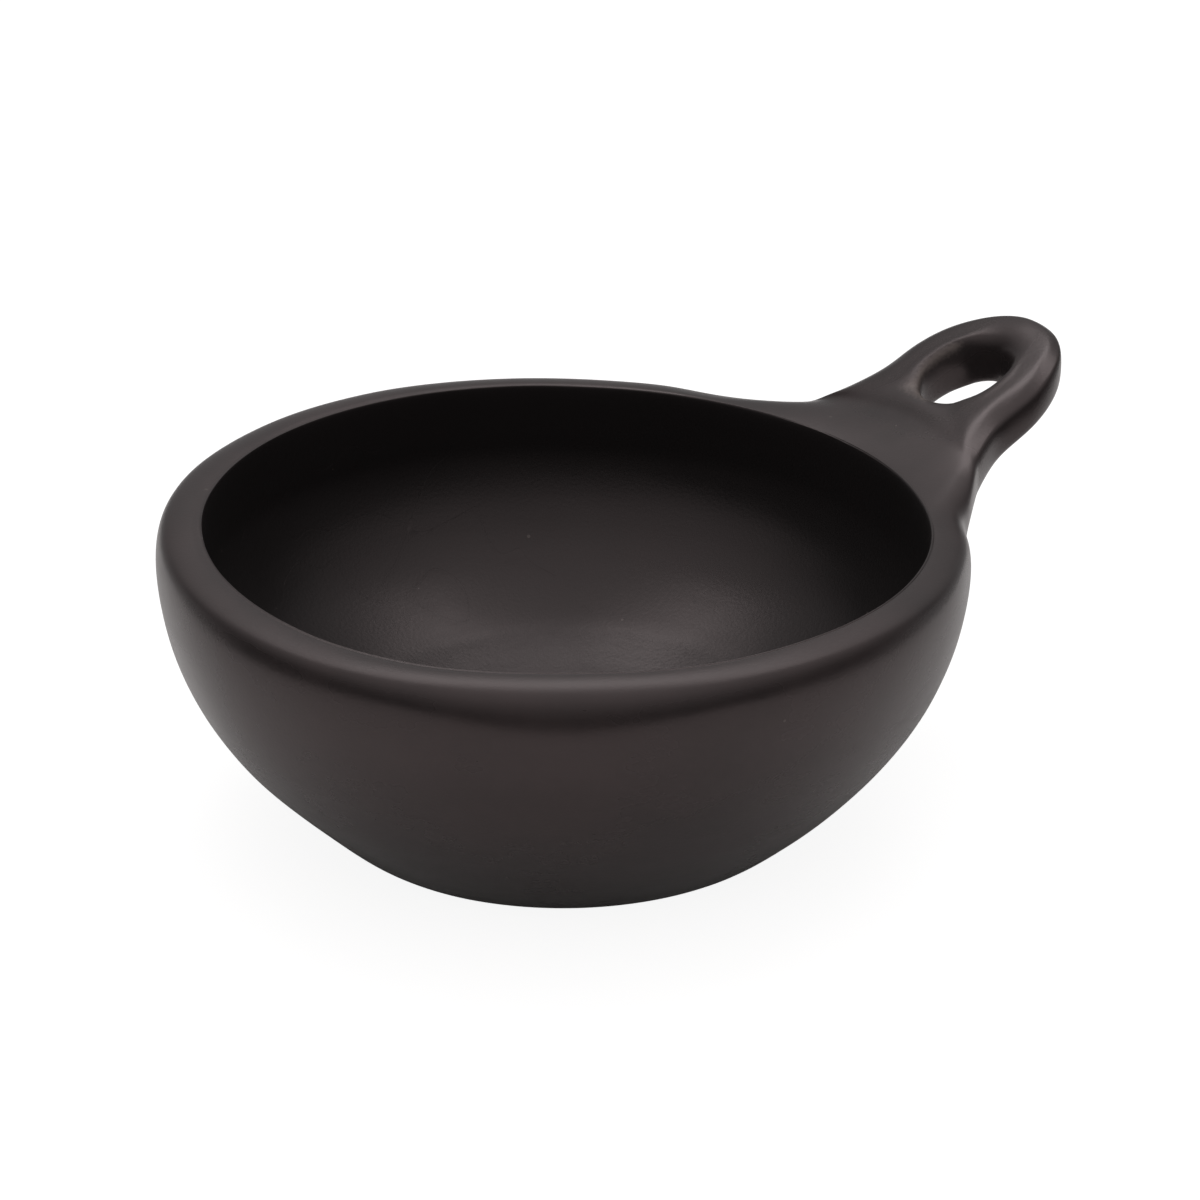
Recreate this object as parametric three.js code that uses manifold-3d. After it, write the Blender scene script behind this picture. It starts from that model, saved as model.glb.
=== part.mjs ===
// Coil-built clay bowl with a pierced lug handle, burnished and fired black.
//
// The pot is made the way a potter makes it: a saucer pressed over a mould, coils of clay laid on its
// edge to raise the wall, one more coil rolled over for the lip, and a pierced lug luted to the rim
// with a roll of soft clay worked round its root. Each of those pieces of clay is a solid of its own,
// and neighbours stay apart by the film of slip that joins them.
//
// Millimetres, +Z up. The origin is the middle of the flat foot, and the handle points along +X.

import * as THREE from "three";
import { mergeVertices } from "three/addons/utils/BufferGeometryUtils.js";
import Module from "manifold-3d";

// Bowl
const bowlRadius = 76; // outside, at the belly, where the bowl is widest
const bowlHeight = 58.8; // foot to the crest of the lip, before the rim settles
const bellyDrop = 6; // from the crest down to the belly
const footRadius = 43.2; // flat part of the foot
const heelRadius = 5; // rounding between the foot and the wall
const heelTurn = THREE.MathUtils.degToRad(42); // slope of the wall where it leaves the heel
const wallThickness = 7;
const floorThickness = 8;
const lipWidth = 7.8; // in plan, from the belly in to the mouth
const lipCrest = 2; // from the mouth out to the crest of the lip
const lipTurn = 2.2; // depth of the rounding from the crest down into the mouth
const rimFall = 1.9; // how far the rim has settled towards the handle, and risen opposite

// Pieces of clay that raise the wall
const saucerHeight = 21; // pressed over a mould
const rimCoilHeight = 10.5; // from its outer seam up to the crest
const wallCoils = 2; // coils between the saucer and the rim coil
const scarfDrop = 4; // how much lower a seam lies inside than outside
const slip = 0.3; // film of liquid clay in each joint

// Handle
const handleReach = 39.5; // from the belly to the tip
const handleWidth = 35; // across the loop
const handleThickness = 11;
const handleRise = 18.7; // of the upper face, from the lip to the tip
const tipRounding = 15.5; // length of the rounded end
const rootWidth = 66; // across the flare, at the belly
const rootThickness = 19.5; // at the belly
const flareLength = 9.5; // over which the flare dies away
const rootRoll = 6; // thickness of the clay roll worked round the root
const holeLength = 20.5;
const holeWidth = 12.8;
const holeInset = 8.5; // clay left between the hole and the tip
const holeEdge = 3.5; // rounding of the hole's edges

// Fineness of the facets
const turnSteps = 64; // round the bowl
const wallSteps = 16; // up the wall
const lipSteps = 10; // over the shoulder
const edgeSteps = 5; // round the heel, the mouth and the hole's edges
const sectionSteps = 28; // round the handle
const handleSteps = 26; // along the handle

const wasm = await Module();
wasm.setup();

// Section of the bowl, as lines of points (radius, height) that rise from the middle to the lip's crest

const point = (radius, height) => new THREE.Vector2(radius, height);
const bellyHeight = bowlHeight - bellyDrop;
const mouthRadius = bowlRadius - lipWidth;
const mouthHeight = bowlHeight - lipTurn;
const crestRadius = mouthRadius + lipCrest;

function arc(centre, radius, from, to, steps) {
  const points = [];
  for (let i = 0; i <= steps; i++) {
    const turn = from + ((to - from) * i) / steps;
    points.push(point(centre.x + radius * Math.cos(turn), centre.y + radius * Math.sin(turn)));
  }
  return points;
}

// Foot, heel, flank and shoulder. Each pull says how far a curve keeps the slope of its end.
function outerLine() {
  const straightDown = -Math.PI / 2;
  const heelCentre = point(footRadius, heelRadius);
  const heel = arc(heelCentre, heelRadius, straightDown, straightDown + heelTurn, edgeSteps);
  const heelTop = heel.at(-1);
  const flankRise = bellyHeight - heelTop.y;
  const heelPull = 0.06 * flankRise;
  const bellyPull = 0.6 * flankRise;
  const flank = new THREE.CubicBezierCurve(
    heelTop,
    point(heelTop.x + heelPull * Math.cos(heelTurn), heelTop.y + heelPull * Math.sin(heelTurn)),
    point(bowlRadius, bellyHeight - bellyPull),
    point(bowlRadius, bellyHeight),
  );
  const shoulderPull = 0.75 * bellyDrop;
  const crestPull = 0.35 * (bowlRadius - crestRadius);
  const shoulder = new THREE.CubicBezierCurve(
    point(bowlRadius, bellyHeight),
    point(bowlRadius, bellyHeight + shoulderPull),
    point(crestRadius + crestPull, bowlHeight),
    point(crestRadius, bowlHeight),
  );
  const wall = flank.getPoints(wallSteps).slice(1);
  const lip = shoulder.getPoints(lipSteps).slice(1);
  return [point(0, 0), ...heel, ...wall, ...lip];
}

// Floor, inside of the wall, and the turn of the lip into the mouth.
function innerLine() {
  const innerBelly = point(bowlRadius - wallThickness, bellyHeight - bellyDrop);
  const floorPull = 0.66 * innerBelly.x;
  const wallPull = 0.62 * (innerBelly.y - floorThickness);
  const hollow = new THREE.CubicBezierCurve(
    point(0, floorThickness),
    point(floorPull, floorThickness),
    point(innerBelly.x, innerBelly.y - wallPull),
    innerBelly,
  );
  const neckPull = 0.35 * (mouthHeight - innerBelly.y);
  const neck = new THREE.CubicBezierCurve(
    innerBelly,
    point(innerBelly.x, innerBelly.y + neckPull),
    point(mouthRadius, mouthHeight - neckPull),
    point(mouthRadius, mouthHeight),
  );
  const turn = new THREE.EllipseCurve(
    crestRadius, mouthHeight, lipCrest, lipTurn, Math.PI, Math.PI / 2, true,
  );
  return [
    ...hollow.getPoints(wallSteps),
    ...neck.getPoints(edgeSteps).slice(1),
    ...turn.getPoints(edgeSteps).slice(1),
  ];
}

const outer = outerLine();
const inner = innerLine();

// The point where a rising line passes a height.
function pointAt(line, height) {
  const above = line.findIndex((p) => p.y > height);
  const low = line[above - 1];
  const high = line[above];
  return low.clone().lerp(high, (height - low.y) / (high.y - low.y));
}

// The stretch of a rising line between two heights, without points that crowd its ends.
function stretch(line, low, high) {
  const between = line.filter((p) => p.y > low + slip && p.y < high - slip);
  return [pointAt(line, low), ...between, pointAt(line, high)];
}

function below(line, height) {
  return [...line.filter((p) => p.y < height - slip), pointAt(line, height)];
}

function above(line, height) {
  return [pointAt(line, height), ...line.filter((p) => p.y > height + slip)];
}

function turned(profile) {
  return new THREE.LatheGeometry(profile, turnSteps).rotateX(Math.PI / 2);
}

// Solids for cutting, and back to geometry

function solid(geometry) {
  const bare = geometry.clone();
  bare.deleteAttribute("normal");
  bare.deleteAttribute("uv");
  const merged = mergeVertices(bare);
  const vertProperties = new Float32Array(merged.attributes.position.array);
  const triVerts = new Uint32Array(merged.index.array);
  return new wasm.Manifold(new wasm.Mesh({ numProp: 3, vertProperties, triVerts }));
}

function skin(cut) {
  const mesh = cut.getMesh();
  const geometry = new THREE.BufferGeometry();
  geometry.setAttribute("position", new THREE.BufferAttribute(mesh.vertProperties, 3));
  geometry.setIndex(new THREE.BufferAttribute(mesh.triVerts, 1));
  return geometry;
}

// Pieces of the bowl

function saucer(seam) {
  return turned([...below(outer, seam), ...below(inner, seam - scarfDrop).reverse()]);
}

function wallCoil(lowSeam, highSeam) {
  const outside = stretch(outer, lowSeam + slip, highSeam);
  const inside = stretch(inner, lowSeam + slip - scarfDrop, highSeam - scarfDrop);
  return turned([...outside, ...inside.reverse(), outside[0]]);
}

function rimCoil(seam) {
  const outside = above(outer, seam + slip);
  const inside = above(inner, seam + slip - scarfDrop);
  return turned([...outside, ...inside.reverse().slice(1), outside[0]]);
}

// The bowl without its hollow, grown all round, to fit the handle's root to the wall.
function grownBowl(growth) {
  const grown = outer.map((p, i) => {
    const before = outer[Math.max(i - 1, 0)];
    const after = outer[Math.min(i + 1, outer.length - 1)];
    const along = after.clone().sub(before).normalize();
    return point(p.x + growth * along.y, p.y - growth * along.x);
  });
  return solid(turned([point(0, -growth), ...grown.slice(1), point(0, bowlHeight + growth)]));
}

// Handle: sections at growing distance from the bowl's axis, each bent along its circle

const tip = bowlRadius + handleReach;

// Height of a round edge over a length: 1 until the edge starts, 0 at the tip.
function roundOff(radius, length) {
  const into = Math.max(0, (radius - (tip - length)) / length);
  return Math.sqrt(Math.max(0, 1 - into * into));
}

function flare(radius) {
  return Math.exp((bowlRadius - radius) / flareLength);
}

// Height of the upper face, which lifts off the lip slowly at first.
function upperFace(radius) {
  const liftOff = 1.13;
  const climb = Math.max(0, (radius - crestRadius) / (tip - crestRadius));
  return bowlHeight + handleRise * climb ** liftOff;
}

// An oval that is squarer in the loop than at the root.
function handleSection(radius) {
  const loopSquareness = 2.75;
  const rootSquareness = 2.15;
  const rooted = flare(radius);
  const squareness = loopSquareness + (rootSquareness - loopSquareness) * Math.min(1, rooted);
  const halfWidth = (handleWidth + (rootWidth - handleWidth) * rooted) / 2;
  const thickness = handleThickness + (rootThickness - handleThickness) * rooted;
  const middle = upperFace(radius) - thickness / 2;
  const bulge = (v) => Math.sign(v) * Math.abs(v) ** (2 / squareness);
  const ring = [];
  for (let i = 0; i < sectionSteps; i++) {
    const turn = (2 * Math.PI * i) / sectionSteps;
    const across = halfWidth * roundOff(radius, tipRounding) * bulge(Math.cos(turn));
    const up = (thickness / 2) * roundOff(radius, handleThickness / 2) * bulge(Math.sin(turn));
    const bearing = across / radius;
    ring.push(new THREE.Vector3(radius * Math.cos(bearing), radius * Math.sin(bearing), middle + up));
  }
  return ring;
}

// A closed skin over a row of rings, with a fan of triangles over the last ring at each end.
function loft(rings) {
  const count = rings[0].length;
  const middle = (ring) => ring.reduce((sum, p) => sum.add(p), new THREE.Vector3()).divideScalar(count);
  const points = [...rings.flat(), middle(rings[0]), middle(rings.at(-1))];
  const start = points.length - 2;
  const end = points.length - 1;
  const lastRing = (rings.length - 1) * count;
  const faces = [];
  for (let j = 0; j < count; j++) {
    const k = (j + 1) % count;
    for (let row = 0; row < lastRing; row += count) {
      faces.push(row + j, row + k, row + count + k);
      faces.push(row + j, row + count + k, row + count + j);
    }
    faces.push(start, k, j);
    faces.push(end, lastRing + j, lastRing + k);
  }
  const geometry = new THREE.BufferGeometry().setFromPoints(points);
  geometry.setIndex(faces);
  return geometry;
}

function lug() {
  const rings = [];
  for (let i = 0; i < handleSteps; i++) {
    const share = Math.sin((Math.PI / 2) * (i / handleSteps));
    rings.push(handleSection(crestRadius + (tip - crestRadius) * share));
  }
  return loft(rings);
}

// What a finger takes out of the lug: a waisted plug, whose flares round the hole's edges.
function fingerHole() {
  const waist = holeWidth / 2;
  const half = handleThickness / 2;
  const edge = Math.min(holeEdge, half);
  const flared = waist + edge;
  const quarter = Math.PI / 2;
  const upper = arc(point(flared, half - edge), edge, 2 * quarter, quarter, edgeSteps);
  const lower = arc(point(flared, edge - half), edge, 3 * quarter, 2 * quarter, edgeSteps);
  const profile = [
    point(0, -handleThickness),
    point(flared, -handleThickness),
    ...lower,
    ...upper,
    point(flared, handleThickness),
    point(0, handleThickness),
  ];
  const middle = tip - holeInset - holeLength / 2;
  const slope = Math.atan2(upperFace(middle + waist) - upperFace(middle - waist), holeWidth);
  return turned(profile)
    .scale(holeLength / holeWidth, 1, 1)
    .rotateY(-slope)
    .translate(middle, 0, upperFace(middle) - half);
}

// The rim has settled towards the handle: fully at the lip, not at all at the foot.
function settle(geometry) {
  const places = geometry.attributes.position;
  for (let i = 0; i < places.count; i++) {
    const share = (places.getZ(i) / bowlHeight) ** 2;
    const drop = (rimFall * share * places.getX(i)) / bowlRadius;
    places.setZ(i, places.getZ(i) - drop);
  }
  geometry.computeVertexNormals();
  return geometry;
}

const bowl = new THREE.Group();

function addPiece(name, geometry) {
  const firedClay = new THREE.MeshStandardMaterial({ color: "#2d2a29", roughness: 0.36, metalness: 0 });
  const mesh = new THREE.Mesh(settle(geometry), firedClay);
  mesh.name = name;
  bowl.add(mesh);
}

const rimSeam = bowlHeight - rimCoilHeight;
const coilHeight = (rimSeam - saucerHeight) / wallCoils;

addPiece("moulded_saucer", saucer(saucerHeight));
for (let i = 0; i < wallCoils; i++) {
  const seam = saucerHeight + i * coilHeight;
  addPiece(`wall_coil_${i + 1}`, wallCoil(seam, seam + coilHeight));
}
addPiece("rim_coil", rimCoil(rimSeam));

const piercedLug = solid(lug()).subtract(solid(fingerHole()));
addPiece("handle_root_roll", skin(piercedLug.intersect(grownBowl(rootRoll)).subtract(grownBowl(slip))));
addPiece("handle_loop", skin(piercedLug.subtract(grownBowl(rootRoll + slip))));

export default bowl;
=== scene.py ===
"""The looks of a hand-built black clay bowl with a pierced handle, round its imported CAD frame.

Burnishing leaves no seam to see, so the clay is modelled as one skin. The skin is then cut along the
potter's joins and each cut is closed, so that every CAD node has a visual piece of its own.
"""

import math

import bmesh
import bpy
import numpy as np
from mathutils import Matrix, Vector


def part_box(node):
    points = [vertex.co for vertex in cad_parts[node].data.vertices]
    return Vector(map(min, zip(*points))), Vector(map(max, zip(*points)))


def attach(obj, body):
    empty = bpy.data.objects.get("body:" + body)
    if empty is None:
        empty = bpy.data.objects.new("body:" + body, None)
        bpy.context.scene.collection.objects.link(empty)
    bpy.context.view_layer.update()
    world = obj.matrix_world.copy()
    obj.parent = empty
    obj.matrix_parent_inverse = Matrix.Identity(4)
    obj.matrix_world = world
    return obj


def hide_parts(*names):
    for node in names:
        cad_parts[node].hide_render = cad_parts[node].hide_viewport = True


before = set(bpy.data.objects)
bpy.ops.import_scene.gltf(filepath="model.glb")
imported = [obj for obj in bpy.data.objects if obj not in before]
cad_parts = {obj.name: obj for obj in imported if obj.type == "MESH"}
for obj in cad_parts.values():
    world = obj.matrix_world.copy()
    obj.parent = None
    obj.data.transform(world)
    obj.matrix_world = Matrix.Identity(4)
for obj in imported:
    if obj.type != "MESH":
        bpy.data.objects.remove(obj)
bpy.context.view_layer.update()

bl_info = {
    "name": "Clay bowl with handle",
    "version": (1, 0, 0),
    "blender": (4, 5, 0),
    "location": "View3D > Sidebar > Clay bowl",
    "description": "Models a burnished black clay bowl with a pierced handle, and its studio",
    "category": "Object",
}

MM = 0.001
# Lengths that differ by less than this count as equal.
HAIR = 0.1 * MM
# How far the smooth skin lies outside the faceted CAD rim.
SKIN_OVER_CAD = 0.15 * MM

# Pieces, in the order in which the potter adds them, each with the CAD node that it stands for.
SAUCER, COIL_1, COIL_2, RIM, ROOT, LOOP = range(6)
PIECES = (
    ("burnished_saucer", "moulded_saucer"),
    ("burnished_wall_coil_1", "wall_coil_1"),
    ("burnished_wall_coil_2", "wall_coil_2"),
    ("burnished_rim_coil", "rim_coil"),
    ("burnished_handle_root", "handle_root_roll"),
    ("burnished_handle_loop", "handle_loop"),
)
SKIN = "clay_skin"
HOLLOW = "hollow"
WORN = "worn"

# The cage: faces round the bowl, and the block of them that the handle grows from.
SEGMENTS = 48
SIDE_COLUMNS = 4
ROOT_ROWS = 5
SMOOTHING_LEVELS = 3
FITTING_ROUNDS = 5

# The camera looks along +Y turned by this bearing, so that the handle points behind the picture's right.
CAMERA_BEARING = math.radians(-35.5)
CAMERA_RIGHT = (math.cos(CAMERA_BEARING), math.sin(CAMERA_BEARING), 0)


def length(name, description, default):
    """A size in metres that a user may change."""
    return bpy.props.FloatProperty(
        name=name, description=description, default=default, unit="LENGTH", precision=5
    )


def angle(name, description, degrees):
    """An angle that a user may change."""
    return bpy.props.FloatProperty(
        name=name, description=description, default=math.radians(degrees), subtype="ANGLE"
    )


def from_hex(code):
    """An sRGB hex colour as linear red, green, blue and alpha."""
    values = [int(code[start:start + 2], 16) / 255 for start in (0, 2, 4)]
    linear = [v / 12.92 if v <= 0.04045 else ((v + 0.055) / 1.055) ** 2.4 for v in values]
    return (*linear, 1.0)


def colour(name, description, code):
    """A colour that a user may change."""
    return bpy.props.FloatVectorProperty(
        name=name, description=description, default=from_hex(code), size=4, subtype="COLOR", min=0, max=1
    )


class BowlSizes(bpy.types.PropertyGroup):
    """The bowl's section, its joins and its hand-made unevenness."""

    belly_radius: length("Belly radius", "Widest part of the bowl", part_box("rim_coil")[1].y + SKIN_OVER_CAD)
    height: length("Height", "Lip's crest above the table", 58.2 * MM)
    belly_drop: length("Belly drop", "Widest part below the crest", 6.8 * MM)
    inner_drop: length("Inner belly drop", "Widest part of the hollow below the crest", 12 * MM)
    foot_radius: length("Foot radius", "Flat part that stands on the table", 43.7 * MM)
    heel_radius: length("Heel radius", "Rounding from the foot to the wall", 5 * MM)
    heel_turn: angle("Heel turn", "Slope at which the wall leaves the heel", 42)
    wall: length("Wall", "Thickness of the wall at the belly", 8.3 * MM)
    floor: length("Floor", "Thickness of the floor in the middle", 8 * MM)
    shoulder_fullness: bpy.props.FloatProperty(
        name="Shoulder fullness", description="How square the lip's outside is at the sides", default=0.24
    )
    lip_width: length("Lip width", "From the belly in to the mouth's edge", 8.3 * MM)
    lip_crest: length("Lip crest", "From the mouth's edge out to the crest", 1.9 * MM)
    lip_turn: length("Lip turn", "Mouth's edge below the crest", 0.7 * MM)
    lip_pull: length("Lip pull", "How far the mouth's edge is pulled out at the handle", 0.6 * MM)
    front_roll: length("Front roll", "How much thicker the lip is in the middle of the front", 1.3 * MM)
    back_roll: length("Back roll", "How much wider the lip is at the back", 1.9 * MM)
    mouth_shift: length("Mouth shift", "How far the mouth lies to the picture's right", 0.6 * MM)
    rim_wave: length("Rim wave", "How far the rim dips and rises round the bowl", 0.8 * MM)
    rim_fall: length("Rim fall", "Fall of the rim towards the handle, from drying", 1.9 * MM)
    heel_flat: length("Heel flat", "How far the heel is pressed in at the picture's left", 1 * MM)
    saucer_seam: length("Saucer seam", "Outside height of the join on the saucer", 21 * MM)
    coil_seam: length("Coil seam", "Outside height of the join of the wall coils", 34.65 * MM)
    rim_seam: length("Rim seam", "Outside height of the join under the rim coil", 46 * MM)
    scarf_drop: length("Scarf drop", "How much lower a join is inside than outside", 4 * MM)
    unevenness: length("Unevenness", "Height of the swells that hands leave in the wall", 0.5 * MM)
    swell_width: length("Swell width", "Width of those swells", 34 * MM)


class HandleSizes(bpy.types.PropertyGroup):
    """The lug that grows out of the rim, and its finger hole. Its near side is the camera's, at -Y."""

    tip_radius: length("Tip radius", "Bowl's middle to the handle's tip", 112 * MM)
    width: length("Width", "Width of the lug across its hole", 36.2 * MM)
    thickness: length("Thickness", "Thickness of the lug", 11.5 * MM)
    rise: length("Rise", "Tip above the lip's crest", 21.7 * MM)
    tip_rounding: length("Tip rounding", "Length of the round end", 21 * MM)
    root_width: length("Root width", "Width of the flare at the belly", 73 * MM)
    root_thickness: length("Root thickness", "Thickness of the flare at the belly", 15.4 * MM)
    flare_length: length("Flare length", "Length over which the flare dies out", 6.2 * MM)
    flare_shift: length("Flare shift", "How far the flare lies to the near side", 3.8 * MM)
    sway: length("Sway", "How far the tip lies to the near side", 4.3 * MM)
    root_roll: length("Root roll", "How far the flare hangs on its far side", 2.2 * MM)
    skew: length("Skew", "How much further the tip's far corner reaches than its middle", 0.4 * MM)
    squeeze: length("Squeeze", "How much the far side is pressed in, between root and tip", 2 * MM)
    hole_length: length("Hole length", "Finger hole along the handle", 17 * MM)
    hole_width: length("Hole width", "Finger hole across the handle", 17 * MM)
    hole_shift: length("Hole shift", "How far the hole lies to the near side", 0.3 * MM)
    hole_taper: length("Hole taper", "How much further the hole's far side is out at the bottom", 0.3 * MM)
    hole_inset: length("Hole inset", "Clay between the hole and the tip", 9 * MM)
    hole_edge: length("Hole edge", "Rounding of the hole's edges", 2.6 * MM)


class ClayColours(bpy.types.PropertyGroup):
    """The colours of the fired clay and of the studio."""

    body: colour("Body", "Burnished black clay", "2A2626")
    brown: colour("Brown", "Thinner smoke, where the brown clay shows through", "362F2F")
    soot: colour("Soot", "The hollow, where smoke stayed", "211F1F")
    painted_foot_shade: colour("Painted foot shade", "The foot, blackened by the fire", "140D0B")
    # painted shade: a darker colour round the foot, standing in for the bowl's own shade on its lower wall
    worn: colour("Worn", "Edges where the burnish is rubbed off", "6A615D")
    dust: colour("Dust", "Dust caught in the pits", "4C4644")
    sheen: colour("Sheen", "Tint of the burnish's highlights", "FFEAEA")
    paper: colour("Paper", "Studio paper under the bowl", "F5F2F1")


def sizes():
    """The bowl's and the handle's sizes, as the user set them."""
    return bpy.context.scene.clay_bowl, bpy.context.scene.clay_handle


# Section of the bowl

# Handles of the section's cubic curves, as shares of the height or width that each curve covers.
# ROUND makes a quarter of an ellipse.
ROUND = 0.5523
HEEL_PULL, BELLY_PULL = 0.06, 0.56
FLOOR_PULL, INNER_PULL = 0.61, 0.62
NECK_PULL = 0.35
# Shares of the hollow's curve at which the last rings lie, before the floor is filled.
FLOOR_RINGS = (0.39, 0.29, 0.2)
# The two axes of the section, and how often a search along a curve halves its range.
RADIUS, HEIGHT = 0, 1
HALVINGS = 40


def bezier(corners, share):
    """The point at a share of the way along a cubic curve."""
    start, pull, push, end = corners
    rest = 1 - share
    return rest**3 * start + 3 * rest**2 * share * pull + 3 * rest * share**2 * push + share**3 * end


def curve_at(corners, axis, value):
    """The point of a curve at a radius or a height that only grows along it."""
    low, high = 0.0, 1.0
    for _ in range(HALVINGS):
        middle = (low + high) / 2
        if bezier(corners, middle)[axis] < value:
            low = middle
        else:
            high = middle
    return bezier(corners, low)


def crest_radius(bowl):
    """Radius of the lip's highest line."""
    return bowl.belly_radius - bowl.lip_width + bowl.lip_crest


def heel_point(bowl, turn):
    """A point of the rounded heel."""
    return Vector((
        bowl.foot_radius + bowl.heel_radius * math.sin(turn),
        bowl.heel_radius * (1 - math.cos(turn)),
    ))


def flank_curve(bowl):
    """Outside of the wall, from the heel up to the belly."""
    heel = heel_point(bowl, bowl.heel_turn)
    belly = Vector((bowl.belly_radius, bowl.height - bowl.belly_drop))
    climb = belly.y - heel.y
    away = Vector((math.cos(bowl.heel_turn), math.sin(bowl.heel_turn)))
    return heel, heel + HEEL_PULL * climb * away, belly - Vector((0, BELLY_PULL * climb)), belly


def shoulder_curve(bowl):
    """Outside of the lip, from the belly up to the crest."""
    belly = Vector((bowl.belly_radius, bowl.height - bowl.belly_drop))
    crest = Vector((crest_radius(bowl), bowl.height))
    over = Vector((crest.x + ROUND * (belly.x - crest.x), crest.y))
    return belly, belly + Vector((0, ROUND * bowl.belly_drop)), over, crest


def lip_point(bowl, turn):
    """A point of the lip's inner rounding, from the crest at 0 to the mouth's edge."""
    return Vector((
        crest_radius(bowl) - bowl.lip_crest * math.sin(turn),
        bowl.height - bowl.lip_turn * (1 - math.cos(turn)),
    ))


def hollow_curve(bowl):
    """Inside of the bowl, from the middle of the floor out and up to the inner belly."""
    belly = Vector((bowl.belly_radius - bowl.wall, bowl.height - bowl.inner_drop))
    floor = Vector((0, bowl.floor))
    level = Vector((FLOOR_PULL * belly.x, bowl.floor))
    return floor, level, belly - Vector((0, INNER_PULL * (belly.y - bowl.floor))), belly


def neck_curve(bowl):
    """Inside of the lip, from the inner belly up to the mouth's edge."""
    belly = hollow_curve(bowl)[3]
    mouth = lip_point(bowl, math.pi / 2)
    pull = Vector((0, NECK_PULL * (mouth.y - belly.y)))
    return belly, belly + pull, mouth - pull, mouth


def steps(start, end, count):
    """Evenly spaced values after start, the last of which is end."""
    return [start + (end - start) * number / count for number in range(1, count + 1)]


def section_stations(bowl):
    """The cage's rings from the foot round the lip to the floor: point, piece it closes, share of hollow."""
    flank, shoulder = flank_curve(bowl), shoulder_curve(bowl)
    hollow, neck = hollow_curve(bowl), neck_curve(bowl)
    outside = [(Vector((bowl.foot_radius, 0)), SAUCER)]
    outside += [(heel_point(bowl, turn), SAUCER) for turn in steps(0, bowl.heel_turn, 2)]
    outside += [(curve_at(flank, HEIGHT, z), SAUCER) for z in steps(flank[0].y, bowl.saucer_seam, 4)]
    outside += [(curve_at(flank, HEIGHT, z), COIL_1) for z in steps(bowl.saucer_seam, bowl.coil_seam, 2)]
    outside += [(curve_at(flank, HEIGHT, z), COIL_2) for z in steps(bowl.coil_seam, bowl.rim_seam, 2)]
    outside += [(flank[3], RIM)]
    outside += [(bezier(shoulder, share), RIM) for share in steps(0, 1, 3)]
    outside += [(lip_point(bowl, math.pi / 4), RIM)]
    inside = [(bezier(neck, share), RIM) for share in (1, 0.5, 0)]
    seams = [seam - bowl.scarf_drop for seam in (bowl.rim_seam, bowl.coil_seam, bowl.saucer_seam)]
    inside += [(curve_at(hollow, HEIGHT, seams[0]), RIM)]
    inside += [(curve_at(hollow, HEIGHT, z), COIL_2) for z in steps(seams[0], seams[1], 2)]
    inside += [(curve_at(hollow, HEIGHT, z), COIL_1) for z in steps(seams[1], seams[2], 2)]
    inside += [(bezier(hollow, share), SAUCER) for share in FLOOR_RINGS]
    return [(*ring, 0.0) for ring in outside] + [(*ring, 1.0) for ring in inside]


# Handling objects and selections

def take_up(piece):
    """Makes one object the only selected one, and active."""
    bpy.ops.object.select_all(action="DESELECT")
    piece.select_set(True)
    bpy.context.view_layer.objects.active = piece


def choose(piece, kind, wanted):
    """In edit mode, selects the points, edges or faces that pass a test, and nothing else."""
    bpy.ops.mesh.select_mode(type={"verts": "VERT", "edges": "EDGE", "faces": "FACE"}[kind])
    bpy.ops.mesh.select_all(action="DESELECT")
    shape = bmesh.from_edit_mesh(piece.data)
    found = [part for part in getattr(shape, kind) if wanted(part)]
    if not found:
        raise RuntimeError(f"{piece.name}: nothing to select")
    for part in found:
        part.select_set(True)
    shape.select_flush_mode()
    bmesh.update_edit_mesh(piece.data)


def places(mesh):
    """The mesh's points as rows of x, y and z."""
    flat = np.empty(len(mesh.vertices) * 3)
    mesh.vertices.foreach_get("co", flat)
    return flat.reshape(-1, 3)


def put(mesh, points):
    """Moves the mesh's points."""
    mesh.vertices.foreach_set("co", points.ravel())
    mesh.update()


# The cage of the bowl

# Radius of the cage's first ring, as a share of the foot's.
FIRST_RING = 0.8


def turn_bowl(bowl):
    """A ring at the foot, extruded up the wall, over the lip and down inside, and filled at both ends."""
    start = Vector((FIRST_RING * bowl.foot_radius, 0))
    bpy.ops.mesh.primitive_circle_add(vertices=SEGMENTS, radius=start.x, location=(0, 0, 0))
    cage = bpy.context.object
    cage.name = SKIN
    for name, _ in PIECES:
        cage.data.materials.append(bpy.data.materials.new(name))
    bpy.ops.object.mode_set(mode="EDIT")
    bpy.ops.mesh.select_all(action="SELECT")
    bpy.ops.mesh.fill_grid(span=SEGMENTS // 4)
    bmesh.from_edit_mesh(cage.data).verts.layers.float.new(HOLLOW)
    choose(cage, "edges", lambda edge: edge.is_boundary)
    last = start
    for point, piece, hollow in section_stations(bowl):
        bpy.ops.mesh.extrude_region_move(TRANSFORM_OT_translate={"value": (0, 0, point.y - last.y)})
        share = point.x / last.x
        bpy.ops.transform.resize(value=(share, share, 1), center_override=(0, 0, point.y))
        mark_band(cage, piece, hollow)
        last = point
    bpy.ops.mesh.fill_grid(span=SEGMENTS // 4)
    bpy.ops.mesh.select_all(action="SELECT")
    bpy.ops.mesh.normals_make_consistent(inside=False)
    return cage


def mark_band(cage, piece, hollow):
    """Gives the faces that the last extrusion made to a piece, and says whether their new ring is inside."""
    shape = bmesh.from_edit_mesh(cage.data)
    layer = shape.verts.layers.float[HOLLOW]
    for point in shape.verts:
        if point.select:
            point[layer] = hollow
    for edge in shape.edges:
        if edge.select:
            for face in edge.link_faces:
                face.material_index = piece
    bmesh.update_edit_mesh(cage.data)


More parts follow.
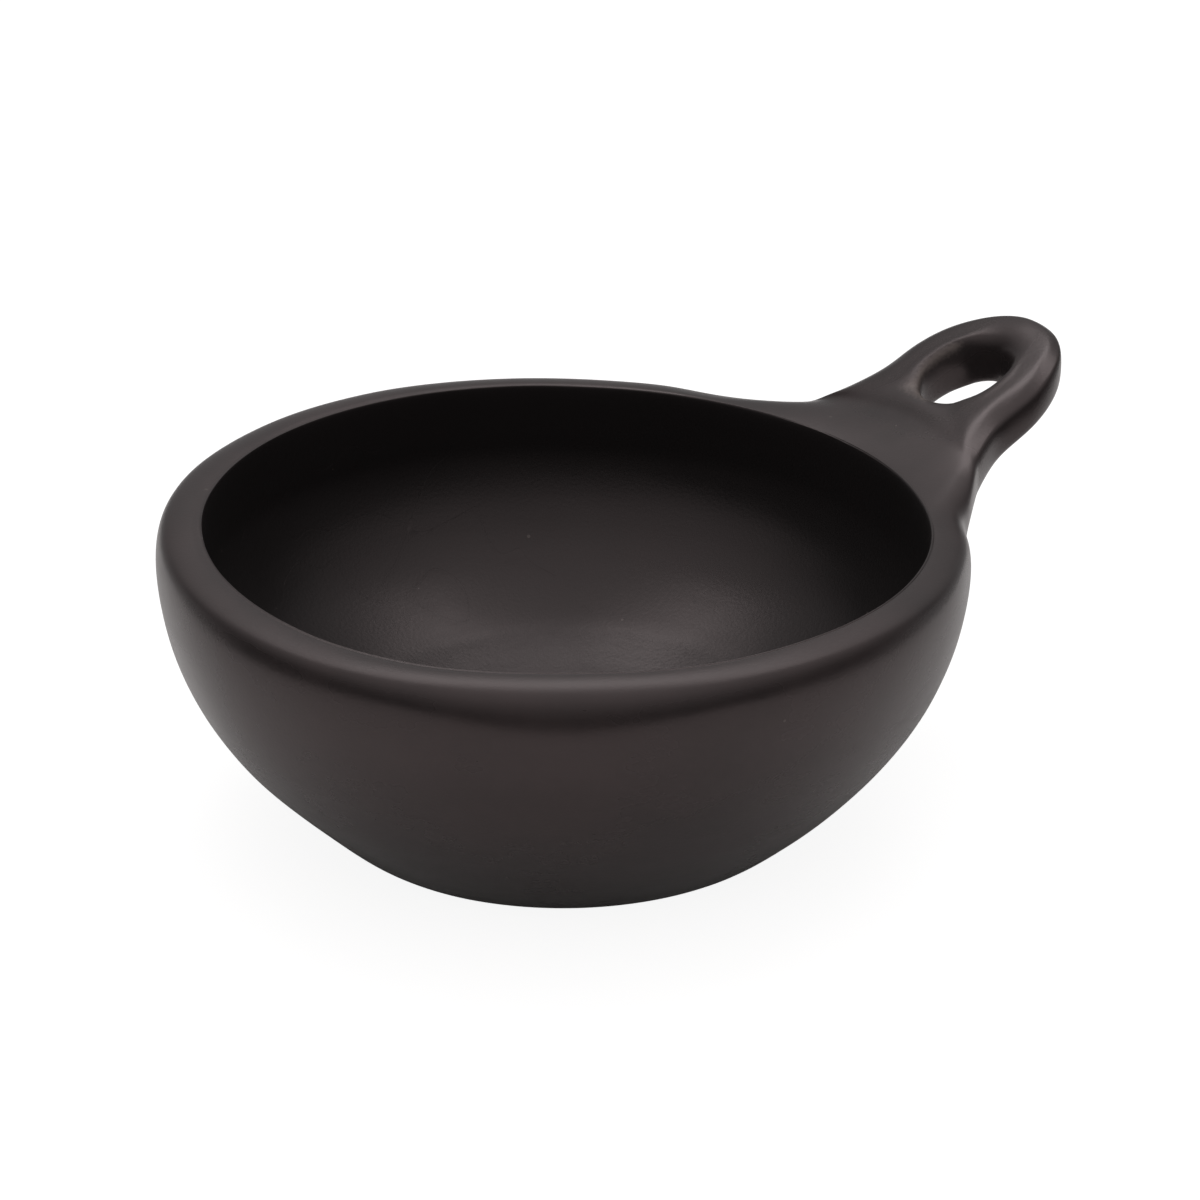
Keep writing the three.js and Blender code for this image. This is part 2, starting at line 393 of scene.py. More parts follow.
def round_floor(cage, bowl):
    """Lets the filled floor follow the hollow, which is deepest in the middle."""
    hollow = hollow_curve(bowl)
    shape = bmesh.from_edit_mesh(cage.data)
    layer = shape.verts.layers.float[HOLLOW]
    ring = bezier(hollow, FLOOR_RINGS[-1]).x
    for point in shape.verts:
        radius = math.hypot(point.co.x, point.co.y)
        if radius < ring - HAIR and point.co.z > bowl.floor:
            point.co.z = curve_at(hollow, RADIUS, radius).y
            point[layer] = 1.0
    bmesh.update_edit_mesh(cage.data)


# The cage of the handle

# The lug's top climbs a little steeper towards the tip.
CLIMB_POWER = 1.13
# The lug's section is a squared oval, and rounder by the root.
SQUARENESS, ROOT_ROUNDING = 4.5, 2.3
# The tip is a round oval on its far side and blunter on its near side.
TIP_POWERS = {1: 1, -1: 0.88}
# Rows of the cage from the root to the tip: two rings of the flare, by their distance from the belly,
# five rows past the hole, by their turn round it in degrees, and one at the tip.
FLARE_ROWS = {1: 1.8 * MM, 2: 5.2 * MM}
HOLE_TURNS = {3: 140, 4: 115, 5: 90, 6: 65, 7: 40}
HOLE_FIRST, HOLE_LAST, END_ROW = 3, 7, 8
# The same rows on the lug's side: distance from the hole's middle, then turn round the tip in degrees.
SIDE_RADII = {3: -11.2 * MM, 4: -7 * MM, 5: -2.6 * MM}
TIP_TURNS = {6: 74, 7: 58}
END_TURN = 11
# Turn in degrees at which the lug's round side meets its top and its underside.
SIDE_TURN = 44
# Columns between the hole's edge and the side, as shares of the way.
# Lifts here and below are shares of half the lug's thickness.
STRAP_SHARES = {2: 0.34, 3: 0.7}
STRAP_LIFTS = {2: 1, 3: 0.975}
HOLE_LIFT = 0.92
TIP_LIFT = 0.1
# The hole is wider at the top and the bottom by this share of its edge's rounding.
EDGE_SHARE = 0.3
# Layers that number a point of the cage along the handle, across it, and from its underside to its top.
TAGS = ("station", "column", "row")


def flare(bowl, handle, radius):
    """What is left of the root's flare at a distance from the bowl's middle."""
    return math.exp((bowl.belly_radius - radius) / handle.flare_length)


def half_width(bowl, handle, radius):
    """Half the lug's width, with its flare."""
    return (handle.width + (handle.root_width - handle.width) * flare(bowl, handle, radius)) / 2


def half_thickness(bowl, handle, radius):
    """Half the lug's thickness, with its flare."""
    spread = handle.root_thickness - handle.thickness
    return (handle.thickness + spread * flare(bowl, handle, radius)) / 2


def upper_face(bowl, handle, radius):
    """Height of the lug's top, which climbs from the lip's crest to the tip."""
    crest = crest_radius(bowl)
    climb = max(0, (radius - crest) / (handle.tip_radius - crest))
    return bowl.height + handle.rise * climb**CLIMB_POWER


def hole_middle(handle):
    """Distance of the hole's middle from the bowl's."""
    return handle.tip_radius - handle.hole_inset - handle.hole_length / 2


def on_lug(bowl, handle, radius, across, lift):
    """A point of the lug: its distance from the bowl's middle, across the lug, and up as a share."""
    half = half_thickness(bowl, handle, radius)
    bearing = (across - handle.flare_shift * flare(bowl, handle, radius)) / radius
    return Vector((
        radius * math.cos(bearing),
        radius * math.sin(bearing),
        upper_face(bowl, handle, radius) + half * (lift - 1),
    ))


def oval(bowl, handle, radius, turn):
    """Shares of the half width and half thickness at a turn round the lug's section."""
    squareness = SQUARENESS - ROOT_ROUNDING * flare(bowl, handle, radius)
    around = math.radians(turn)
    lift = math.copysign(abs(math.sin(around)) ** (2 / squareness), turn)
    return math.cos(around) ** (2 / squareness), lift


def side_turn(row):
    """Turn of a row on the lug's round side, from the underside to the top."""
    return SIDE_TURN * (2 * row / ROOT_ROWS - 1)


def flare_point(bowl, handle, station, place, row):
    """A point of the flare's rings: radius, across and lift."""
    radius = bowl.belly_radius + FLARE_ROWS[station]
    turn = side_turn(row)
    if place < SIDE_COLUMNS:
        turn = math.copysign(90 - (90 - SIDE_TURN) * place / SIDE_COLUMNS, turn)
    reach, lift = oval(bowl, handle, radius, turn)
    return radius, half_width(bowl, handle, radius) * reach, lift


def side_point(bowl, handle, station, side, place, row):
    """A point on the lug's round side, past the hole or round the tip: radius, across and lift."""
    tip_start = handle.tip_radius - handle.tip_rounding
    radius = hole_middle(handle) + SIDE_RADII[station] if station in SIDE_RADII else tip_start
    turn = END_TURN * place if station == END_ROW else TIP_TURNS.get(station, 90)
    reach, lift = oval(bowl, handle, radius, side_turn(row))
    around = math.radians(turn)
    if row == ROOT_ROWS:
        lift += TIP_LIFT * math.cos(around)
    power = TIP_POWERS[side]
    across = half_width(bowl, handle, radius) * reach * math.sin(around) ** power
    return radius + handle.tip_rounding * reach * abs(math.cos(around)) ** power, across, lift


def hole_point(handle, turn, grow, level):
    """A point on the hole's outline: radius and across. Its far side leans out from the top down."""
    around = math.radians(turn)
    radius = hole_middle(handle) + (handle.hole_length / 2 + grow) * math.cos(around)
    half = handle.hole_width / 2 + grow
    if turn > 0:
        half -= handle.hole_taper * level
    return radius, half * math.sin(around) - handle.hole_shift


def lug_point(bowl, handle, station, column, row):
    """Where a point of the handle's cage goes."""
    side, place = math.copysign(1, column), abs(column)
    level = 1 if row == ROOT_ROWS else -1
    if station in FLARE_ROWS:
        radius, across, lift = flare_point(bowl, handle, station, place, row)
        return on_lug(bowl, handle, radius, side * across, lift)
    end = place if station == END_ROW else SIDE_COLUMNS
    radius, across, lift = side_point(bowl, handle, station, side, end, row)
    if place == SIDE_COLUMNS or station == END_ROW:
        return on_lug(bowl, handle, radius, side * across, lift)
    turn = HOLE_TURNS[station]
    if place == 0:
        turn = 180 if turn > 90 else 0
    edge = hole_point(handle, side * turn, EDGE_SHARE * handle.hole_edge, level)
    if place <= 1:
        return on_lug(bowl, handle, *edge, level * HOLE_LIFT)
    share = STRAP_SHARES[place]
    radius = edge[0] + (radius - edge[0]) * share
    across = edge[1] + (side * across - edge[1]) * share
    return on_lug(bowl, handle, radius, across, level * STRAP_LIFTS[place])


def grow_handle(cage, bowl, handle):
    """Extrudes the handle, row by row, from the block of faces under the lip's crest."""
    width = math.radians(360 / SEGMENTS)
    lowest = (bowl.coil_seam + bowl.rim_seam) / 2

    def in_block(face):
        middle = face.calc_center_median()
        outside = face.normal.x > 0 and math.hypot(middle.x, middle.y) > crest_radius(bowl)
        sector = abs(math.atan2(middle.y, middle.x)) < SIDE_COLUMNS * width
        return outside and sector and middle.z > lowest

    choose(cage, "faces", in_block)
    shape = bmesh.from_edit_mesh(cage.data)
    _, column, row = [shape.verts.layers.int.new(name) for name in TAGS]
    block = [point for point in shape.verts if point.select]
    levels = sorted({round(point.co.z / MM, 2) for point in block})
    if len(levels) != ROOT_ROWS + 1:
        raise RuntimeError(f"the handle's root has {len(levels) - 1} rows of faces and not {ROOT_ROWS}")
    for point in block:
        point[column] = round(math.atan2(point.co.y, point.co.x) / width)
        point[row] = levels.index(round(point.co.z / MM, 2))
    bmesh.update_edit_mesh(cage.data)
    for number in range(1, END_ROW + 1):
        bpy.ops.mesh.extrude_region_move(TRANSFORM_OT_translate={"value": (MM, 0, 0)})
        place_row(cage, bowl, handle, number)


def place_row(cage, bowl, handle, number):
    """Puts the newest row of the handle's cage in its place and gives its faces to a piece."""
    shape = bmesh.from_edit_mesh(cage.data)
    station, column, row = [shape.verts.layers.int[name] for name in TAGS]
    piece = ROOT if number in FLARE_ROWS else LOOP
    for point in shape.verts:
        if point.select:
            point[station] = number
            point.co = lug_point(bowl, handle, number, point[column], point[row])
            for face in point.link_faces:
                face.material_index = piece
    bmesh.update_edit_mesh(cage.data)


def pierce_handle(cage, bowl, handle):
    """Opens the top and the underside of the lug and bridges the two openings, with a waist between them."""
    shape = bmesh.from_edit_mesh(cage.data)
    station, column, row = [shape.verts.layers.int[name] for name in TAGS]

    def in_hole(face):
        corners = face.verts
        rows = {point[row] for point in corners}
        across = all(abs(point[column]) <= 1 for point in corners)
        along = all(HOLE_FIRST <= point[station] <= HOLE_LAST for point in corners)
        return across and along and (rows == {0} or rows == {ROOT_ROWS})

    choose(cage, "faces", in_hole)
    bpy.ops.mesh.delete(type="FACE")
    choose(cage, "edges", lambda edge: edge.is_boundary)
    bpy.ops.mesh.bridge_edge_loops(number_cuts=1)
    shape = bmesh.from_edit_mesh(cage.data)
    middle = hole_middle(handle)
    waist = [point for point in shape.verts if all(face.select for face in point.link_faces)]
    for point in waist:
        radius = math.hypot(point.co.x, point.co.y)
        across = radius * math.atan2(point.co.y, point.co.x) + handle.hole_shift
        turn = math.degrees(math.atan2(across / handle.hole_width, (radius - middle) / handle.hole_length))
        point.co = on_lug(bowl, handle, *hole_point(handle, turn, 0, 0), 0)
    for face in shape.faces:
        if face.select:
            face.material_index = LOOP
    bmesh.update_edit_mesh(cage.data)


# Marks of use

# How much of the burnish is rubbed off the lip, and off the hole's edge on its two sides.
LIP_WEAR, FAR_WEAR, NEAR_WEAR = 0.4, 1.0, 0.2
# How far down the lip is rubbed, as a share of the belly's drop.
LIP_TOP = 0.25


def wear_edges(cage, bowl):
    """Marks the edges where use has rubbed the burnish dull: the lip's top and the hole's upper edge."""
    points = places(cage.data)
    radius = np.hypot(points[:, 0], points[:, 1])
    tags = {}
    for name in TAGS:
        tags[name] = np.empty(len(points), int)
        cage.data.attributes[name].data.foreach_get("value", tags[name])
    mouth = crest_radius(bowl) - bowl.lip_crest - HAIR
    top = bowl.height - LIP_TOP * bowl.belly_drop
    lip = (radius > mouth) & (radius < bowl.belly_radius) & (points[:, 2] > top)
    hole = (tags["row"] == ROOT_ROWS) & (np.abs(tags["column"]) <= 1)
    hole &= (tags["station"] >= HOLE_FIRST) & (tags["station"] <= HOLE_LAST)
    far = (tags["column"] >= 0) & (tags["station"] < HOLE_LAST)
    worn = LIP_WEAR * lip + hole * np.where(far, FAR_WEAR, NEAR_WEAR)
    layer = cage.data.attributes.new(WORN, "FLOAT", "POINT")
    layer.data.foreach_set("value", worn.astype(np.float32))


# Marks of the hands

# Places and widths round the bowl are in degrees from its front, with the picture's right above 0.

# The hollow moves with the mouth from this share of the height up.
MOUTH_FROM = 0.72
# How far to each side of the handle the mouth's edge is pulled out.
PULL_WIDTH = math.radians(24)
# The shoulder's fullness in front and behind, what the sides add, and what the front's two corners add.
FULL_ENDS, FULL_SIDES, FULL_CORNERS = 0.3, 0.7, 0.6
# The pressed place on the heel.
HEEL_PLACE, HEEL_WIDTH = -50, 17
HEEL_HEIGHT, HEEL_SPREAD = 8 * MM, 7 * MM
# The lip's roll: its width in front, how far round the back it is wide, and the height over which it sags.
FRONT_ROLL_WIDTH = 14
BACK_ROLL_REACH = 1.3
SAG_SPREAD = 4 * MM
# The rim's dips, or rises if below 0, as shares of its wave, each with its place and width.
# The nod lowers the front and lifts the back.
RIM_DIPS = ((1.45, -42, 34), (-0.75, 48, 30), (-0.8, -130, 38))
RIM_NOD = 0.8
# The flare's roll: the length over which it sets in, how far round it goes, the share of the bowl's height
# that it starts from, and how fast it dies out along the lug.
ROLL_START, ROLL_WIDTH, ROLL_FROM, ROLL_DECAY = 8 * MM, math.radians(26), 0.75, 2
# The squeeze: its place and width along the lug, and the share of the lug over which it sets in.
SQUEEZE_PLACE, SQUEEZE_WIDTH, SQUEEZE_START = 0.4, 0.33, 1 / 8
# How far out, in half widths of the lug, the roll and the squeeze still grow.
ROLL_LIMIT, SQUEEZE_LIMIT = 1.5, 1.2


def hump(distance, width):
    """A smooth hump, 1 high at no distance, that dies out over a width."""
    return np.exp(-((distance / width) ** 2))


def polar(exact):
    """Radius and bearing of the exact round's points, and their degrees from the front."""
    bearing = np.arctan2(exact[:, 1], exact[:, 0])
    front = np.degrees((bearing - CAMERA_BEARING + 1.5 * math.pi) % (2 * math.pi) - math.pi)
    return np.hypot(exact[:, 0], exact[:, 1]), bearing, front


def fullness(front):
    """How full the shoulder is round the bowl."""
    sides = FULL_SIDES * np.sin(np.radians(front)) ** 2
    corners = FULL_CORNERS * np.sin(np.radians(2 * front)) ** 2 * (np.abs(front) < 90)
    return FULL_ENDS + sides + corners


def press_wall(points, exact, bowl):
    """Pulls the mouth, fills the shoulder, presses the heel and rolls the lip, each by hand."""
    radius, bearing, front = polar(exact)
    crest, belly = crest_radius(bowl), bowl.height - bowl.belly_drop
    climb = (exact[:, 2] / bowl.height - MOUTH_FROM) / (1 - MOUTH_FROM)
    inside = (radius < crest - HAIR) * np.clip(climb, 0, 1)
    push = -bowl.lip_pull * hump(bearing, PULL_WIDTH) * inside
    # the shoulder, from the belly in and up to the crest
    shoulder = (radius > crest - HAIR) & (radius < bowl.belly_radius + HAIR) & (exact[:, 2] > belly)
    out = np.clip((radius - crest) / (bowl.belly_radius - crest), 0, 1)
    up = np.clip((exact[:, 2] - belly) / bowl.belly_drop, 0, 1)
    power = 1 - bowl.shoulder_fullness * fullness(front)
    push -= shoulder * (out**power - out) * (bowl.belly_radius - crest)
    points[:, 2] += shoulder * (up**power - up) * bowl.belly_drop
    # the heel, pressed flatter at one side
    press = hump(front - HEEL_PLACE, HEEL_WIDTH) * hump(points[:, 2] - HEEL_HEIGHT, HEEL_SPREAD)
    push += bowl.heel_flat * press * (radius > bowl.foot_radius)
    # the lip's roll, thicker in the middle of the front, where it sags, and wider at the back
    roll = bowl.front_roll * hump(front, FRONT_ROLL_WIDTH)
    wider = roll + bowl.back_roll * np.clip(-BACK_ROLL_REACH * np.cos(np.radians(front)), 0, 1)
    push += wider * np.maximum(inside, shoulder * (1 - out))
    sag = hump(points[:, 2] - belly, SAG_SPREAD) * (radius > crest + MM)
    points[:, 2] -= roll * sag * (1 - up)
    points[:, :2] *= (1 - push / np.maximum(radius, MM))[:, None]
    points[:, :2] += bowl.mouth_shift * inside[:, None] * np.array(CAMERA_RIGHT[:2])


def tilt_rim(points, exact, bowl):
    """Lets the rim fall towards the handle, dip and rise."""
    _, _, front = polar(exact)
    wave = RIM_NOD * np.cos(np.radians(front))
    for size, place, width in RIM_DIPS:
        wave += size * hump(front - place, width)
    fall = bowl.rim_fall * points[:, 0] / bowl.belly_radius
    points[:, 2] -= (exact[:, 2] / bowl.height) ** 2 * (fall + bowl.rim_wave * wave)


def bend_lug(points, exact, bowl, handle):
    """Rolls the flare's far side down, and skews, squeezes and sways the lug."""
    radius, bearing, _ = polar(exact)
    reach = np.maximum(radius - bowl.belly_radius, 0) / (handle.tip_radius - bowl.belly_radius)
    across = points[:, 1] / (handle.width / 2)
    rolled = np.clip(across, 0, ROLL_LIMIT) * np.clip((radius - crest_radius(bowl)) / ROLL_START, 0, 1)
    rolled *= np.exp(-((bearing / ROLL_WIDTH) ** 4)) * (exact[:, 2] > ROLL_FROM * bowl.height)
    points[:, 2] -= handle.root_roll * rolled * np.exp(-ROLL_DECAY * reach)
    points[:, 0] += handle.skew * reach**2 * across
    far = np.clip(across, 0, SQUEEZE_LIMIT) ** 2 * np.clip(reach / SQUEEZE_START, 0, 1)
    points[:, 1] -= handle.squeeze * far * hump(reach - SQUEEZE_PLACE, SQUEEZE_WIDTH)
    points[:, 1] -= handle.sway * reach


def settle(cage, bowl, handle):
    """Lets go of the exact round, as clay does that is shaped by hand and dries."""
    points = places(cage.data)
    exact = points.copy()
    press_wall(points, exact, bowl)
    tilt_rim(points, exact, bowl)
    bend_lug(points, exact, bowl, handle)
    put(cage.data, points)


# Round the handle's root, within these degrees, heights and radii, the skin follows its cage less closely,
# so that the lip and the lug flow into each other.
LOOSE_BEARING, LOOSE_FADE = 44, 14
LOOSE_HEIGHT, LOOSE_CLIMB = 34 * MM, 6 * MM
LOOSE_RADIUS = 66 * MM
LOOSENESS = 0.55


def pass_through(cage):
    """Moves the cage until its smoothed skin runs through the places that its points have now."""
    goal = places(cage.data)
    bearing = np.degrees(np.abs(np.arctan2(goal[:, 1], goal[:, 0])))
    by_handle = np.clip((LOOSE_BEARING - bearing) / LOOSE_FADE, 0, 1)
    by_handle *= np.clip((goal[:, 2] - LOOSE_HEIGHT) / LOOSE_CLIMB, 0, 1)
    by_handle *= np.hypot(goal[:, 0], goal[:, 1]) > LOOSE_RADIUS
    firmness = (1 - LOOSENESS * by_handle)[:, None]
    smooth = cage.modifiers.new("smooth skin", "SUBSURF")
    smooth.levels = smooth.render_levels = 1
    for _ in range(FITTING_ROUNDS):
        skin = cage.evaluated_get(bpy.context.evaluated_depsgraph_get()).data
        put(cage.data, places(cage.data) + firmness * (goal - places(skin)[: len(goal)]))
    smooth.levels = smooth.render_levels = SMOOTHING_LEVELS
    bpy.ops.object.modifier_apply(modifier=smooth.name)


def roughen_by_hand(skin, bowl):
    """Leaves the low swells that hands and a burnishing stone leave in the wall, but not under the foot."""
    swells = bpy.data.textures.new("hand swells", "CLOUDS")
    swells.noise_scale = bowl.swell_width
    swells.noise_depth = 1
    wall = skin.vertex_groups.new(name="wall")
    heights = np.clip(places(skin.data)[:, 2] / bowl.heel_radius, 0, 1)
    for number, weight in enumerate(heights):
        wall.add([number], float(weight), "REPLACE")
    push = skin.modifiers.new("hand swells", "DISPLACE")
    push.texture = swells
    push.texture_coords = "LOCAL"
    push.vertex_group = wall.name
    push.strength = bowl.unevenness
    push.mid_level = 0.5
    bpy.ops.object.modifier_apply(modifier=push.name)


def set_down(skin):
    """Flattens the foot, as the board did on which the soft bowl stood."""
    points = places(skin.data)
    points[points[:, 2] < HAIR, 2] = 0
    put(skin.data, points)


class ClayBowlSkin(bpy.types.Operator):
    """Models the bowl and its handle as one smooth skin of clay"""

    bl_idname = "clay_bowl.skin"
    bl_label = "Model the clay skin"

    def execute(self, context):
        bowl, handle = sizes()
        bpy.ops.object.select_all(action="DESELECT")
        cage = turn_bowl(bowl)
        round_floor(cage, bowl)
        grow_handle(cage, bowl, handle)
        pierce_handle(cage, bowl, handle)
        bpy.ops.mesh.select_all(action="SELECT")
        bpy.ops.mesh.normals_make_consistent(inside=False)
        bpy.ops.object.mode_set(mode="OBJECT")
        take_up(cage)
        wear_edges(cage, bowl)
        settle(cage, bowl, handle)
        pass_through(cage)
        roughen_by_hand(cage, bowl)
        set_down(cage)
        bpy.ops.object.shade_smooth()
        return {"FINISHED"}


# Cutting the skin along the potter's joins

# Edges with a sharper turn than this are shaded sharp.
SHARP_TURN = math.radians(35)
# How far out the handle's cut lies, as a share of the belly's radius.
HANDLE_CUT = 0.93


def cut_off(body, pieces):
    """Cuts the faces of some pieces off a body, and returns them as an object of their own."""
    take_up(body)
    bpy.ops.object.mode_set(mode="EDIT")
    choose(body, "faces", lambda face: face.material_index in pieces)
    bpy.ops.mesh.separate(type="SELECTED")
    bpy.ops.object.mode_set(mode="OBJECT")
    return next(part for part in bpy.context.selected_objects if part is not body)


def fill_cut(part, piece_at):
    """Fills a part's one open edge with a grid, and gives each new face to a piece."""
    take_up(part)
    bpy.ops.object.mode_set(mode="EDIT")
    choose(part, "edges", lambda edge: edge.is_boundary)
    bpy.ops.mesh.fill_grid()
    shape = bmesh.from_edit_mesh(part.data)
    for face in shape.faces:
        if face.select:
            face.material_index = piece_at(face.calc_center_median())
    bmesh.update_edit_mesh(part.data)
    bpy.ops.object.mode_set(mode="OBJECT")


def bridge_join(ring, low, high):
    """Closes a ring's join between two heights, from the outside of the wall to its inside."""
    def in_join(edge):
        middle = (edge.verts[0].co + edge.verts[1].co) / 2
        return edge.is_boundary and low < middle.z < high

    take_up(ring)
    bpy.ops.object.mode_set(mode="EDIT")
    choose(ring, "edges", in_join)
    bpy.ops.mesh.bridge_edge_loops()
    bpy.ops.object.mode_set(mode="OBJECT")


def finish_piece(part, number, skin):
    """Turns a closed part's faces outwards and gives it the skin's shading, its clay and its place."""
    take_up(part)
    bpy.ops.object.mode_set(mode="EDIT")
    bpy.ops.mesh.select_all(action="SELECT")
    bpy.ops.mesh.normals_make_consistent(inside=False)
    bpy.ops.object.mode_set(mode="OBJECT")
    bpy.ops.object.shade_smooth_by_angle(angle=SHARP_TURN)
    shading = part.modifiers.new("shading of the skin", "DATA_TRANSFER")
    shading.object = skin
    shading.use_loop_data = True
    shading.data_types_loops = {"CUSTOM_NORMAL"}
    shading.loop_mapping = "NEAREST_POLYNOR"
    bpy.ops.object.modifier_apply(modifier=shading.name)
    part.vertex_groups.clear()
    part.name, node = PIECES[number]
    part.data.name = part.name
    part.data.materials.clear()
    part.data.materials.append(burnished_clay())
    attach(part, "root")
    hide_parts(node)


class ClayBowlPieces(bpy.types.Operator):
    """Cuts the skin into the saucer, the coils, the rim, the handle's root and loop, and closes each cut"""

    bl_idname = "clay_bowl.pieces"
    bl_label = "Cut the skin into pieces"

    def execute(self, context):
        bowl, _ = sizes()
        skin = bpy.data.objects[SKIN]
        take_up(skin)
        bpy.ops.object.duplicate()
        body = context.object
        handle = cut_off(body, (ROOT, LOOP))
        fall = bowl.rim_fall * (bowl.rim_seam / bowl.height) ** 2
        rim_bottom = bowl.rim_seam - HANDLE_CUT * fall
        fill_cut(body, lambda middle: RIM if middle.z > rim_bottom else COIL_2)
        fill_cut(handle, lambda middle: ROOT)
        loop = cut_off(handle, (LOOP,))
        fill_cut(handle, lambda middle: ROOT)
        fill_cut(loop, lambda middle: LOOP)
        rings = [body, *(cut_off(body, (number,)) for number in (COIL_1, COIL_2, RIM))]
        seams = (bowl.saucer_seam, bowl.coil_seam, bowl.rim_seam)
        reach = (bowl.coil_seam - bowl.saucer_seam - bowl.scarf_drop) / 2
        for lower, upper, seam in zip(rings, rings[1:], seams):
            for ring in (lower, upper):
                bridge_join(ring, seam - bowl.scarf_drop - reach, seam + reach)
        for number, part in enumerate((*rings, handle, loop)):
            finish_piece(part, number, skin)
        bpy.data.objects.remove(skin)
        return {"FINISHED"}


# Materials

# Sizes of the clay's patterns. Its grit is finer than this, and is drawn so coarse that it shows.
STROKE_LENGTH, STROKE_WIDTH = 30 * MM, 3 * MM
SMOKE_CLOUD = 40 * MM
GRIT = 0.7 * MM
RELIEF_DEPTH = 0.06 * MM
SCRATCH_CURVE = 26 * MM
PIT_SPACING = 6 * MM
# The strokes run out between these radii, and the painted shade round the foot between the table and this
# height.
STROKES_END, STROKES_GONE = 74 * MM, 82 * MM
PAINTED_SHADE_HEIGHT = 24 * MM
WHITE = (1, 1, 1, 1)


def add(tree, kind, settings=(), links=()):
    """Adds a node with its settings, fed by sockets or by the first output in use of other nodes."""
    node = tree.nodes.new(kind)
    for name, value in dict(settings).items():
        if isinstance(name, str) and hasattr(node, name):
            setattr(node, name, value)
        else:
            node.inputs[name].default_value = value
    for name, source in dict(links).items():
        if isinstance(source, bpy.types.Node):
            source = next(socket for socket in source.outputs if socket.enabled)
        tree.links.new(source, node.inputs[name])
    return node


def empty_material(name):
    """A material with no nodes yet, and its node tree."""
    material = bpy.data.materials.new(name)
    material.use_nodes = True
    material.node_tree.nodes.clear()
    return material, material.node_tree


def stone_strokes(tree, where, parts):
    """The stone's strokes, long and narrow, laid round the bowl and lost on the handle."""
    flat = add(tree, "ShaderNodeVectorMath", {"operation": "MULTIPLY", 1: (1, 1, 0)}, {0: where})
    out = add(tree, "ShaderNodeVectorMath", {"operation": "LENGTH"}, {0: flat})
    along = add(tree, "ShaderNodeMath", {"operation": "ADD"}, {0: out, 1: parts["Z"]})
    slender = STROKE_LENGTH / STROKE_WIDTH
    narrow = add(tree, "ShaderNodeMath", {"operation": "MULTIPLY", 1: slender}, {0: along})
    laid = add(tree, "ShaderNodeCombineXYZ", (), {"X": parts["X"], "Y": parts["Y"], "Z": narrow})
    look = {"Scale": 1 / STROKE_LENGTH, "Detail": 1, "Distortion": 0.2}
    strokes = add(tree, "ShaderNodeTexNoise", look, {"Vector": laid})
    fade = {"From Min": STROKES_END, "From Max": STROKES_GONE, "To Min": 1, "To Max": 0}
    bowl_only = add(tree, "ShaderNodeMapRange", fade, {"Value": out})
    return add(tree, "ShaderNodeMix", {"A": 0.5}, {"Factor": bowl_only, "B": strokes})


def smoked_black(tree, colours, height, hollow, smoke):
    """Black with clouds of brown, sooty in the hollow, and darkened round the foot with painted shade."""
    tone = add(tree, "ShaderNodeMapRange", {"From Min": 0.35, "From Max": 0.65}, {"Value": smoke})
    clouds = {"data_type": "RGBA", "A": colours.body, "B": colours.brown}
    clay = add(tree, "ShaderNodeMix", clouds, {"Factor": tone})
    # painted shade: the colour darkens towards the table, standing in for the bowl's own shade on its lower
    # wall
    fade = {"From Max": PAINTED_SHADE_HEIGHT, "To Min": 1, "To Max": 0}
    foot = add(tree, "ShaderNodeMapRange", fade, {"Value": height})
    fired = {"data_type": "RGBA", "B": colours.painted_foot_shade}
    painted_foot_shade = add(tree, "ShaderNodeMix", fired, {"Factor": foot, "A": clay})
    sooty = {"data_type": "RGBA", "B": colours.soot}
    return add(tree, "ShaderNodeMix", sooty, {"Factor": hollow, "A": painted_foot_shade})


def rubbed_edges(tree, colours, worn, grit, clay):
    """The clay's colour with its rubbed edges, broken up by the grit."""
    ragged = add(tree, "ShaderNodeMath", {"operation": "MULTIPLY_ADD", 1: 0.7, 2: -0.35}, {0: grit})
    rubbed = add(tree, "ShaderNodeMath", {"operation": "MULTIPLY_ADD", 1: 1.3}, {0: worn, 2: ragged})
    share = {"From Min": 0.7, "From Max": 1.3, "To Max": 0.8}
    bare = add(tree, "ShaderNodeMapRange", share, {"Value": rubbed})
    return add(tree, "ShaderNodeMix", {"data_type": "RGBA", "B": colours.worn}, {"Factor": bare, "A": clay})


def dusty_pits(tree, colours, where, clay):
    """The clay's colour with dust caught in pits, in about half of the cells of a loose pattern."""
    cells = add(tree, "ShaderNodeTexVoronoi", {"Scale": 1 / PIT_SPACING}, {"Vector": where}).outputs
    chance = add(tree, "ShaderNodeSeparateColor", (), {"Color": cells["Color"]}).outputs["Red"]
    size = {"From Min": 0.5, "From Max": 1, "To Max": 0.065}
    reach = add(tree, "ShaderNodeMapRange", size, {"Value": chance})
    pit = add(tree, "ShaderNodeMath", {"operation": "LESS_THAN"}, {0: cells["Distance"], 1: reach})
    return add(tree, "ShaderNodeMix", {"data_type": "RGBA", "B": colours.dust}, {"Factor": pit, "A": clay})


def satin_finish(tree, hollow, worn, stone, smoke):
    """Roughness: satin where the stone pressed, duller in the hollow and on rubbed edges."""
    satin = add(tree, "ShaderNodeMapRange", {"To Min": 0.27, "To Max": 0.32}, {"Value": hollow})
    streaked = add(tree, "ShaderNodeMath", {"operation": "MULTIPLY_ADD", 1: 0.05, 2: -0.025}, {0: stone})
    cloudy = add(tree, "ShaderNodeMath", {"operation": "MULTIPLY_ADD", 1: 0.25, 2: -0.125}, {0: smoke})
    patchy = add(tree, "ShaderNodeMath", {"operation": "ADD"}, {0: streaked, 1: cloudy})
    pressed = add(tree, "ShaderNodeMath", {"operation": "ADD"}, {0: satin, 1: patchy})
    return add(tree, "ShaderNodeMath", {"operation": "MULTIPLY_ADD", 1: 0.25}, {0: worn, 2: pressed})


